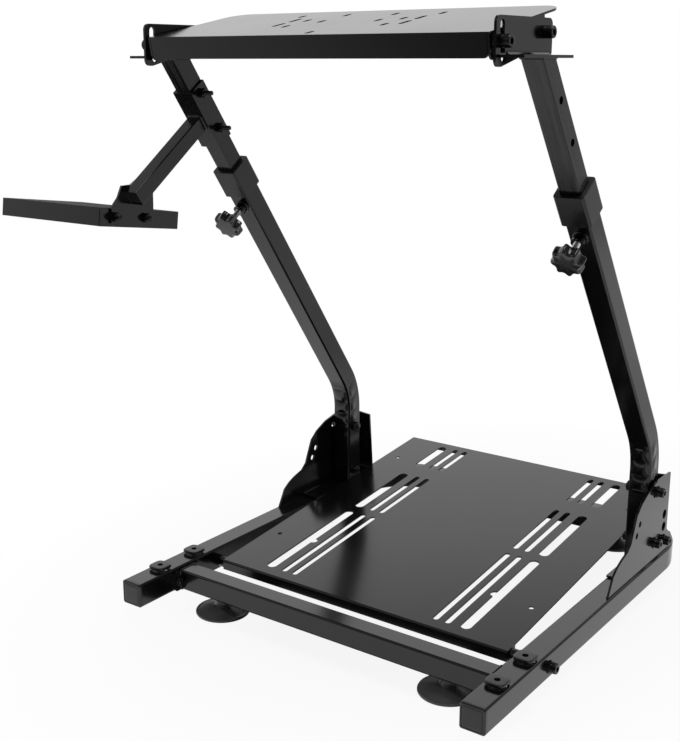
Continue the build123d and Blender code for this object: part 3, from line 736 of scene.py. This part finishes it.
# %% A weld bead
SCALE_MM, SCALE_STEPS, BEAD_SIDES = 2.4, 4, 8


def spaced(path, step, closed):
    """Even points along a path of straight parts."""
    ends = path + path[:1] if closed else path
    points = []
    for start, end in zip(ends, ends[1:]):
        count = max(1, round((end - start).length / step))
        points += [start.lerp(end, i / count) for i in range(count)]
    return points if closed else points + ends[-1:]


def bead(bm, path, out, radius, closed=True):
    """A bead along a path that lies square to `out`, in metres; radius in millimetres."""
    points = spaced(path, SCALE_MM * MM / SCALE_STEPS, closed)
    turns = [2 * math.pi * k / BEAD_SIDES for k in range(BEAD_SIDES)]
    count, rings = len(points), []
    for i, point in enumerate(points):
        ahead = points[(i + 1) % count] if closed else points[min(i + 1, count - 1)]
        behind = points[i - 1] if closed else points[max(i - 1, 0)]
        side = (ahead - behind).normalized().cross(out)
        swell = radius * MM * (0.82 + 0.18 * (i % SCALE_STEPS) / (SCALE_STEPS - 1))
        spokes = [side * math.cos(turn) + out * math.sin(turn) for turn in turns]
        rings.append([bm.verts.new(point + spoke * swell) for spoke in spokes])
    for low, high in zip(rings, rings[1:] + rings[:1] if closed else rings[1:]):
        for k in range(BEAD_SIDES):
            j = (k + 1) % BEAD_SIDES
            bm.faces.new((low[k], low[j], high[j], high[k]))


def round_path(centre, first, second, half_first, half_second, corner):
    """A rounded rectangle in the plane of two axes, in metres; sizes in millimetres."""
    points = []
    for quarter in range(4):
        along = half_first - corner if quarter in (0, 3) else corner - half_first
        up = half_second - corner if quarter < 2 else corner - half_second
        for step in range(6):
            angle = math.pi / 2 * (quarter + step / 5)
            across, rise = along + corner * math.cos(angle), up + corner * math.sin(angle)
            points.append(centre + first * (across * MM) + second * (rise * MM))
    return points


print("a bead has", SCALE_STEPS, "rings to a scale of", SCALE_MM, "mm")

# %% [markdown]
# ## Weld beads in place
# Beads run round the clamp bosses on the uprights, the ends of both cross tubes, the
# tops of the inner tubes under the deck brackets, and the foot of the shifter arm.
# A bead rides with the tube that it is laid on, so the beads of the frame and those
# of the sliding part are separate pieces.

# %% Weld beads in place
BOSS, FRONT_TUBE, REAR_TUBE, LEG, ARM = 8.4, 14.2, 15.8, 12.6, 10.2  # half widths
TUBE_CORNER, ARM_CORNER = 3.0, 2.0
for name, side in SIDES:
    boss = foot_of(name + "_clamp_boss", LEAN_FRONT)[0]
    front_end = end_of(front_low, front_high, side, FLANGE)
    rear_end = end_of(rear_low, rear_high, side)
    bm = bmesh.new()
    bead(bm, round_path(boss, X_AXIS, LEAN_UP, BOSS, BOSS, BOSS), LEAN_FRONT, 1.6)
    bead(bm, round_path(front_end, Y_AXIS, Z_AXIS, FRONT_TUBE, FRONT_TUBE, TUBE_CORNER), X_AXIS, 1.3)
    bead(bm, round_path(rear_end, Y_AXIS, Z_AXIS, REAR_TUBE, REAR_TUBE, TUBE_CORNER), X_AXIS, 0.8)
    finish_piece(name + "_base_welds", bm, "base", "powder_coat")

    tube_low, tube_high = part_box(name + "_inner_tube")
    mouth = [co.y for co in corners(name + "_inner_tube") if co.z > tube_high.z - 0.1 * MM]
    front, back = min(mouth), max(mouth)
    centre = Vector(((tube_low.x + tube_high.x) / 2, (front + back) / 2, tube_high.z))
    depth = (back - front) / MM / 2
    bm = bmesh.new()
    bead(bm, round_path(centre, X_AXIS, Y_AXIS, LEG, depth, TUBE_CORNER), Z_AXIS, 1.8)
    finish_piece(name + "_leg_weld", bm, "upper", "powder_coat")

arm_start = foot_of("shifter_arm", LEAN_FRONT)[0]
bm = bmesh.new()
bead(bm, round_path(arm_start, X_AXIS, LEAN_UP, ARM, ARM, ARM_CORNER), LEAN_FRONT, 1.6)
finish_piece("shifter_arm_weld", bm, "upper", "powder_coat")

# %% [markdown]
# ## Inside bends
# A bracket is one sheet, bent where its foot leaves its web. The bend has a radius of
# about its own thickness, and its hollow side mirrors a whole strip of the room, so it
# shows as a pale band with squeezed reflections. The frame has a plain corner there; a
# narrow strip with a hollow quarter-round section is laid into it, tighter at the front
# of the deck brackets, where a bolt head comes down close to the foot. The front of a
# side bracket has no foot, and a bead joins its web to the rail there.

# %% Inside bends
SHEET_MM, ARC_STEPS = 3.0, 10
TIGHT_MM, TIGHT_BEND, DECK_BEND, SIDE_BEND = 22, 1.6, 4.5, 4.0
FOOT_START = 60  # behind the toe of a side bracket


def hollow_strip(bm, x, z, front, back, outward, radius):
    """A hollow quarter round in a corner, from front to back, with its faces outward and up."""
    turns = [math.pi / 2 * step / ARC_STEPS for step in range(ARC_STEPS + 1)]
    spokes = [outward * math.cos(turn) + Z_AXIS * math.sin(turn) for turn in turns]
    rows = []
    for y in (front, back):
        centre = Vector((x, y, z)) + (outward + Z_AXIS) * (radius * MM)
        rows.append([bm.verts.new(centre - spoke * (radius * MM)) for spoke in spokes])
    for i in range(ARC_STEPS):
        bm.faces.new((rows[0][i], rows[0][i + 1], rows[1][i + 1], rows[1][i]))


for name, side in SIDES:
    outward = X_AXIS * side
    low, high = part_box(name + "_deck_bracket")
    tube_low, tube_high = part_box(name + "_inner_tube")
    x, z = tube_low.x if side > 0 else tube_high.x, tube_high.z + SHEET_MM * MM
    front, turn, back = low.y + 4.4 * MM, low.y + TIGHT_MM * MM, high.y - 7.6 * MM
    bm = bmesh.new()
    hollow_strip(bm, x, z, front, turn, outward, TIGHT_BEND)
    hollow_strip(bm, x, z, turn, back, outward, DECK_BEND)
    finish_piece(name + "_deck_bracket_bend", bm, "upper", "powder_coat")

    low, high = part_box(name + "_side_bracket")
    x, z = (high.x if side > 0 else low.x) - side * SHEET_MM * MM, low.z + SHEET_MM * MM
    front, back = low.y + (FOOT_START + 1) * MM, high.y - 2 * MM
    toe, heel = (Vector((x, low.y + along * MM, low.z)) for along in (2, FOOT_START))
    bm = bmesh.new()
    hollow_strip(bm, x, z, front, back, -outward, SIDE_BEND)
    bead(bm, [toe, heel], Z_AXIS, 1.7, closed=False)
    finish_piece(name + "_side_bracket_bend", bm, "base", "powder_coat")

# %% [markdown]
# ## The folds of a bend
# The uprights are bent cold over a small former. The wall on the inside of such a
# bend has nowhere to go, so it buckles into two or three cross folds, and the sides
# puff out beside them. The shape has to be real here, because each fold mirrors a
# different part of the room. First come the two rules that give it: how high a fold
# stands at a place on the wall, and where that place is on the bend.

# %% The folds of a bend
BEND_START, BEND_RADIUS, TUBE = 179.1, 100.0, 30.0
BEND_ANGLE = math.radians(36)
FOLD, FOLD_SLANT, FOLD_SHIFT, FLATNESS = 20.0, 0.35, 5.0, 0.65


def fade(value, start, end):
    """Smoothly 0 at start and 1 at end."""
    t = min(1.0, max(0.0, (value - start) / (end - start)))
    return t * t * (3 - 2 * t)


def fold_height(along, depth):
    """Share of a fold's lift at a place along the bend and back from its inner face."""
    wave = math.sin(math.pi * (along - FOLD_SLANT * depth + FOLD_SHIFT) / FOLD)
    reach = fade(along, -32, -22) * (1 - fade(along, 30, 46)) * (1 - fade(depth, 8, 24))
    return abs(wave) ** FLATNESS * reach


def bend_point(along, depth, lift):
    """A place on the bend, (forward, up) in millimetres from its start on the inner face."""
    inner = BEND_RADIUS - TUBE / 2
    angle = min(max(along / inner, 0.0), BEND_ANGLE)
    rest, reach = along - angle * inner, inner + depth - lift
    forward = reach * math.cos(angle) - inner - rest * math.sin(angle)
    return forward, reach * math.sin(angle) + rest * math.cos(angle)


print("fold heights each 5 mm:", [round(fold_height(5 * i, 0), 2) for i in range(-7, 10)])

# %% [markdown]
# ## Bend skins
# A thin skin is laid over the bend, one sheet on the inner wall and one on each
# flank, and lifted by the height of the folds, which fade out toward the straight
# parts. Pushing out the frame's own tube would need a much finer mesh all the way
# up; a skin is fine only where the folds are.

# %% Bend skins
ALONG = [-34 + 1.25 * i for i in range(66)]
HALF_WALL, WALL_STEP, WALL_COUNT, WALL_LIFT = 12.4, 1.24, 21, 2.4
FLANK_START, FLANK_STEP, FLANK_COUNT, FLANK_LIFT = 2.6, 1.45, 17, 1.2


def over_bend(tube, across, along, depth, lift):
    """A point of the frame, in metres, over the bend of a tube at (x, y)."""
    y, z = bend_point(along, depth, lift)
    return Vector((tube[0] + across * MM, tube[1] + y * MM, (BEND_START + z) * MM))


def wall_line(tube, along):
    """One row of the inner wall's skin: each fold is a pillow that ends at the corners."""
    line = []
    for i in range(WALL_COUNT):
        across = -HALF_WALL + WALL_STEP * i
        pillow = 1 - abs(across / HALF_WALL) ** 2.5
        lift = 0.06 + WALL_LIFT * fold_height(along, 0) * pillow
        line.append(over_bend(tube, across, along, 0, lift))
    return line


def flank_line(tube, along, side):
    """One row of a flank's skin, which puffs out sideways behind the corner."""
    line = []
    for i in range(FLANK_COUNT):
        depth = FLANK_START + FLANK_STEP * i
        lift = 0.05 + FLANK_LIFT * fold_height(along, depth) * fade(depth, FLANK_START, 10.0)
        line.append(over_bend(tube, side * (TUBE / 2 + lift), along, depth, 0))
    return line


def skin(bm, rows):
    grid = [[bm.verts.new(point) for point in line] for line in rows]
    for low, high in zip(grid, grid[1:]):
        for i in range(len(low) - 1):
            bm.faces.new((low[i], low[i + 1], high[i + 1], high[i]))


for name, _ in SIDES:
    low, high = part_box(name + "_upright")
    tube = (low.x + high.x) / 2, high.y - TUBE * MM
    bm = bmesh.new()
    skin(bm, [wall_line(tube, along) for along in ALONG])
    for side in (-1, 1):
        skin(bm, [flank_line(tube, along, side) for along in ALONG])
    finish_piece(name + "_bend_folds", bm, "base", "powder_coat", finish=creased)

# %% [markdown]
# ## The room
# Black gloss has no colour of its own: it shows the room. The room is a white
# backdrop behind and beside the stand that stops at about forty degrees, a dim
# ceiling above it, a lower wall on the right, a dark gap at the foot of the far left
# wall and a dim side behind the camera. So faces seen at a grazing view go pale and
# those that face the camera stay deep. The eye itself always sees white. A picture
# of a studio could light it as well, but a few ramps over the direction of a ray
# keep every tone within reach.

# %% The room
ROOM_LEVEL = 1.18
world = bpy.data.worlds.new("studio")
scene.world = world
world.use_nodes = True
air = world.node_tree
ray = Value(air).node("ShaderNodeTexCoord", out="Generated")
across, depth, height = parts(ray, 3)
to_right, to_back, upward = across * 0.5 + 0.5, depth * 0.5 + 0.5, height * 0.5 + 0.5
wall = height.ramp((0.0, 0.82), (0.25, 0.82), (0.42, 1.0), (0.55, 1.0), (0.7, 0.24), (1.0, 0.2))
behind_camera = to_back.ramp((0.06, 0.06), (0.1, 0.15), (0.13, 0.45), (0.25, 0.9), (0.4, 1.0))
low_wall = 1 - to_right.ramp((0.6, 0.0), (0.75, 1.0)) * height.ramp((0.1, 0.0), (0.3, 0.75))
right_side = to_right.ramp((0.5, 1.0), (0.66, 0.5), (0.71, 0.4), (0.75, 0.6)) * low_wall
far_left = to_right.ramp((0.28, 1.0), (0.4, 0.0)) * to_back.ramp((0.7, 0.0), (0.8, 1.0))
gap = 1 - far_left * upward.ramp((0.52, 0.97), (0.55, 0.0))
seen = Value(air).node("ShaderNodeLightPath", out="Is Camera Ray")
room = seen.math("MAXIMUM", seen, wall * behind_camera * right_side * gap * ROOM_LEVEL)
feed(air.nodes["Background"], "Color", room)
air.nodes["Background"].inputs["Strength"].default_value = 1.0
print("room:", len(air.nodes), "nodes")

# %% [markdown]
# ## Floor
# The stand is on a sheet of white paper that keeps a faint shadow. The sheet ends
# behind the stand, so that the far wall shows in the gloss of the tray. What the eye
# sees of it is nearly all its own white. What the gloss mirrors of it is painted
# darker under the pedal plate and in a strip under the front cross tube, where little
# light gets in; in that strip the paper's own colour is painted dark as well, a
# painted shadow. Both are set by the place on the sheet, so they hold from any side.

# %% Floor
FLOOR_DROP = 0.0004
SHEET = {"x": (-9.0, 9.0), "y": (-1.2, 3.2)}
floor_mesh = bpy.data.meshes.new("floor")
floor_mesh.from_pydata([(x, y, 0) for y in SHEET["y"] for x in SHEET["x"]], [], [(0, 1, 3, 2)])
floor = bpy.data.objects.new("floor", floor_mesh)
floor.location.z = -FLOOR_DROP
scene.collection.objects.link(floor)
print("floor:", SHEET)

# %% [markdown]
# ## Paper
# The paper is a matte surface mixed with its own white. The mix depends on what
# kind of ray asks and on two masks: the distance from the middle of the pedal plate,
# and the strip under the tube. Both masks paint shade into what the gloss mirrors,
# and the strip also paints a shadow of the front cross tube into the paper's own colour.

# %% Paper
paper, matte, spot = start_finish("white_paper", Roughness=0.9)
sheet = paper.node_tree
seen = Value(sheet).node("ShaderNodeLightPath", out="Is Camera Ray")
mirrored = Value(sheet).node("ShaderNodeLightPath", out="Is Glossy Ray")
oval = {0: spot, 1: (1.3, 1.0, 0.0), 2: (-0.1, -0.08, 0.0)}
from_plate = spot.node("ShaderNodeVectorMath", {"operation": "MULTIPLY_ADD"}, oval)
away = spot.node("ShaderNodeVectorMath", {"operation": "LENGTH"}, {0: from_plate}, out=1) / 2.0
# Painted shade in what the gloss mirrors: the paper's white glow is dimmed under the pedal plate and changes with
# the distance from it.
lit = away.ramp((0.12, 0.05), (0.17, 0.8), (0.22, 0.85), (0.3, 1.0), (0.56, 0.15), (0.95, 0.5))
spot_x, spot_y = (part + 0.5 for part in parts(spot, 2))
# Mask of the strip under the front cross tube, used for a painted shadow.
strip_y = spot_y.ramp((0.238, 0.0), (0.25, 1.0), (0.294, 1.0), (0.302, 0.0))
strip_x = spot_x.ramp((0.35, 0.0), (0.38, 1.0), (0.83, 1.0), (0.86, 0.0))
painted_tube_shadow = strip_y * strip_x
# The strip under the tube also dims the glow that the gloss mirrors, a painted shade.
share = seen * away.ramp((0.15, 0.9), (0.4, 1.0)) + mirrored * lit * (1 - painted_tube_shadow)
glow = spot.node("ShaderNodeEmission", {}, {"Color": (1, 1, 1, 1), "Strength": 1.0})
mixed = spot.node("ShaderNodeMixShader", {}, {0: share, 1: Value(sheet, matte.outputs[0]), 2: glow})
# Painted shadow: the paper's own colour drops from 0.9 to 0.08 in the strip under the front cross tube.
feed(matte, "Base Color", painted_tube_shadow.ramp((0.0, 0.9), (1.0, 0.08)))
feed(sheet.nodes["Material Output"], "Surface", mixed)
floor_mesh.materials.append(paper)
print("paper:", len(sheet.nodes), "nodes")

# %% [markdown]
# ## Lamp
# The room gives most of the light. One large soft lamp above the stand, a little to
# the right, adds the faint shadow on the paper. A small lamp would leave hard white
# glints on every rounded edge.

# %% Lamp
LAMP_PLACE, LAMP_TARGET = Vector((0.6, -0.2, 2.6)), Vector((0, 0, 0.3))
lamp = bpy.data.objects.new("overhead", bpy.data.lights.new("overhead", "AREA"))
lamp.data.shape = "RECTANGLE"
lamp.data.size, lamp.data.size_y = 1.5, 1.1
lamp.data.energy = 20.0
lamp.location = LAMP_PLACE
lamp.rotation_euler = (LAMP_TARGET - LAMP_PLACE).to_track_quat("-Z", "Y").to_euler()
scene.collection.objects.link(lamp)
print("lamp:", lamp.name, lamp.data.energy, "W")

# %% [markdown]
# ## Picture settings
# A product photograph on white wants its tones as they are. Blender's usual film
# curve would turn the white paper grey, so the plain Standard view is chosen.

# %% Picture settings
scene.view_settings.view_transform = "Standard"
print("view:", scene.view_settings.view_transform)

# %% [markdown]
